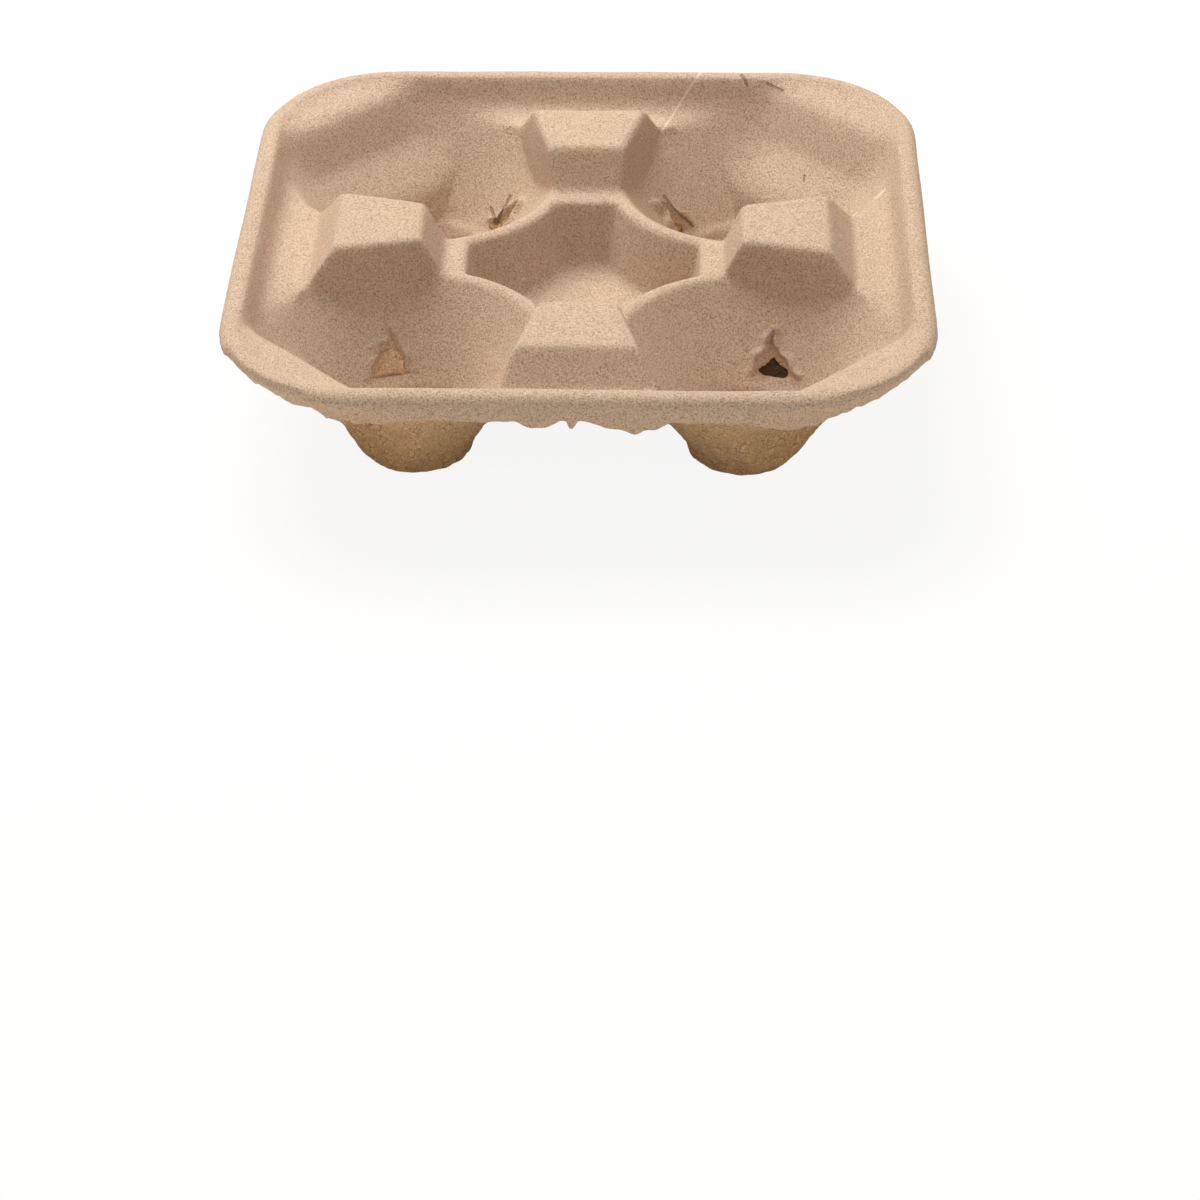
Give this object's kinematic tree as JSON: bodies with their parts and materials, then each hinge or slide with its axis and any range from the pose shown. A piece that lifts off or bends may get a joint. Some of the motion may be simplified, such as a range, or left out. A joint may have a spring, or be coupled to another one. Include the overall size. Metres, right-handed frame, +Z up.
{
  "type": "cup carrier",
  "caption": "Square moulded-pulp carrier tray with round drink cup pockets on tapered feet, raised posts between them, a star-shaped well in the middle and a rolled rim with a short skirt.",
  "frame": {"origin": "on the ground under the middle of the tray, level with the undersides of the feet", "axes": "+Z up, out of the pockets; X and Y along the tray's two equal sides, through the posts"},
  "size_m": [0.213, 0.213, 0.052],
  "materials": {
    "pulp": "matt unbleached moulded paper pulp, smoother on the upper side than underneath"
  },
  "bodies": {
    "root": {"carrier_tray": "pulp"}
  },
  "joints": []
}
